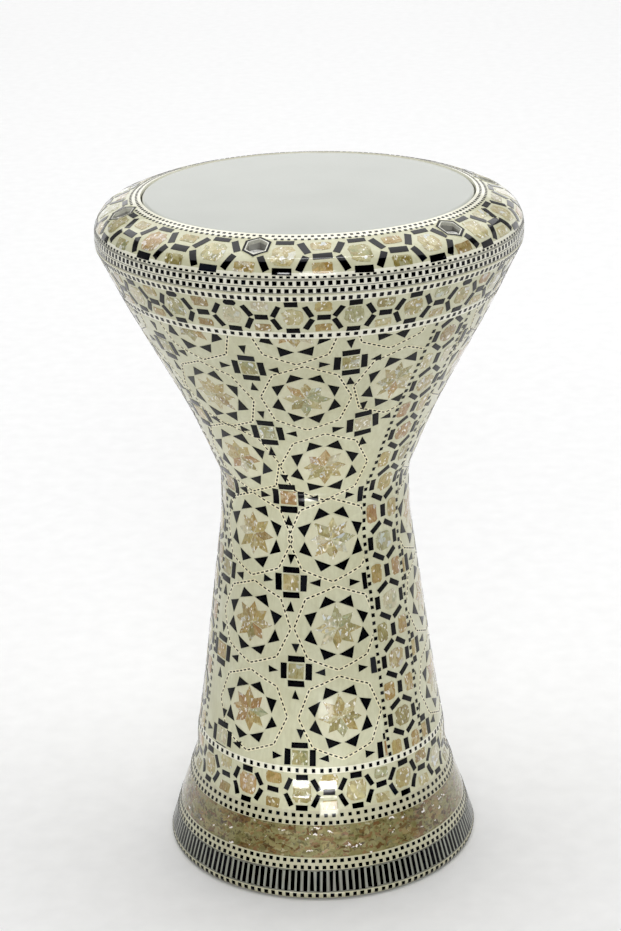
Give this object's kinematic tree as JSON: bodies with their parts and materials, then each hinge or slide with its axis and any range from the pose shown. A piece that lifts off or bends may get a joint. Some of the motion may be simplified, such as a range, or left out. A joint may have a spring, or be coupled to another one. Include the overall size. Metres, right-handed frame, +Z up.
{
  "type": "goblet drum",
  "caption": "Goblet drum with a flared foot, narrow waist and wide bell, covered in an inlaid shell mosaic, with a film head under a rounded tuning ring drawn down by socket screws.",
  "frame": {"origin": "centre of the foot's bottom rim, on the surface that the drum stands on", "axes": "+Z up along the drum's axis from the foot to the head, -Y towards the front of the drum as pictured, +X to its right"},
  "size_m": [0.285, 0.285, 0.4735],
  "materials": {
    "cast_aluminium": "as cast, satin, inside of the goblet",
    "ring_aluminium": "machined satin, seen in the screw wells and the seam",
    "mosaic_ground": "cream pearl-shell ground under clear glossy resin",
    "crushed_shell": "golden-brown crushed shell chips under clear glossy resin",
    "well_frame": "black inlaid outline with a pale inner line, under clear resin",
    "washer_steel": "zinc plated",
    "screw_steel": "bright socket cap screws",
    "head_film": "pale translucent polyester film, satin",
    "hoop_aluminium": "folded channel, mill finish",
    "hoop_resin": "set pouring resin"
  },
  "bodies": {
    "goblet": {"shell_casting": "cast_aluminium", "foot_edge_inlay": "mosaic_ground", "foot_bar_band": "mosaic_ground", "foot_dot_band": "mosaic_ground", "crushed_shell_band": "crushed_shell", "neck_dot_band": "mosaic_ground", "neck_frieze": "mosaic_ground", "panel_foot_line": "mosaic_ground", "front_right_strip": "mosaic_ground", "front_left_strip": "mosaic_ground", "rear_strip": "mosaic_ground", "front_panel": "mosaic_ground", "right_panel": "mosaic_ground", "left_panel": "mosaic_ground", "panel_head_line": "mosaic_ground", "bell_frieze": "mosaic_ground", "rim_dot_band": "mosaic_ground"},
    "tuning_ring": {"tuning_ring_casting": "ring_aluminium", "ring_dot_band": "mosaic_ground", "ring_frieze": "mosaic_ground", "ring_inner_rows": "mosaic_ground", "screw_well_frames": "well_frame", "screw_washers": "washer_steel"},
    "drum_head": {"head_film": "head_film", "head_hoop": "hoop_aluminium", "hoop_resin": "hoop_resin"},
    "screw_1": {"tuning_screw_1": "screw_steel"},
    "screw_2": {"tuning_screw_2": "screw_steel"},
    "screw_3": {"tuning_screw_3": "screw_steel"},
    "screw_4": {"tuning_screw_4": "screw_steel"},
    "screw_5": {"tuning_screw_5": "screw_steel"},
    "screw_6": {"tuning_screw_6": "screw_steel"}
  },
  "joints": [
    {"name": "ring_travel", "type": "slide", "parent": "goblet", "child": "tuning_ring", "axis": [0, 0, 1], "range_m": [0, 0.012]},
    {"name": "head_travel", "type": "slide", "parent": "goblet", "child": "drum_head", "axis": [0, 0, 1], "range_m": [0, 0.012]},
    {"name": "screw_turn_1", "type": "hinge", "parent": "tuning_ring", "child": "screw_1", "pos_m": [-0.03235, -0.12074, 0.4597], "axis": [0, 0, 1], "range_deg": [0, 4320]},
    {"name": "screw_turn_2", "type": "hinge", "parent": "tuning_ring", "child": "screw_2", "pos_m": [0.08839, -0.08839, 0.4597], "axis": [0, 0, 1], "range_deg": [0, 4320]},
    {"name": "screw_turn_3", "type": "hinge", "parent": "tuning_ring", "child": "screw_3", "pos_m": [0.12074, 0.03235, 0.4597], "axis": [0, 0, 1], "range_deg": [0, 4320]},
    {"name": "screw_turn_4", "type": "hinge", "parent": "tuning_ring", "child": "screw_4", "pos_m": [0.03235, 0.12074, 0.4597], "axis": [0, 0, 1], "range_deg": [0, 4320]},
    {"name": "screw_turn_5", "type": "hinge", "parent": "tuning_ring", "child": "screw_5", "pos_m": [-0.08839, 0.08839, 0.4597], "axis": [0, 0, 1], "range_deg": [0, 4320]},
    {"name": "screw_turn_6", "type": "hinge", "parent": "tuning_ring", "child": "screw_6", "pos_m": [-0.12074, -0.03235, 0.4597], "axis": [0, 0, 1], "range_deg": [0, 4320]}
  ],
  "couplings": [
    {"joint": "head_travel", "follows": "ring_travel", "ratio": 1},
    {"joint": "screw_turn_1", "follows": "ring_travel", "rad_per_m": 6283.2},
    {"joint": "screw_turn_2", "follows": "ring_travel", "rad_per_m": 6283.2},
    {"joint": "screw_turn_3", "follows": "ring_travel", "rad_per_m": 6283.2},
    {"joint": "screw_turn_4", "follows": "ring_travel", "rad_per_m": 6283.2},
    {"joint": "screw_turn_5", "follows": "ring_travel", "rad_per_m": 6283.2},
    {"joint": "screw_turn_6", "follows": "ring_travel", "rad_per_m": 6283.2}
  ]
}
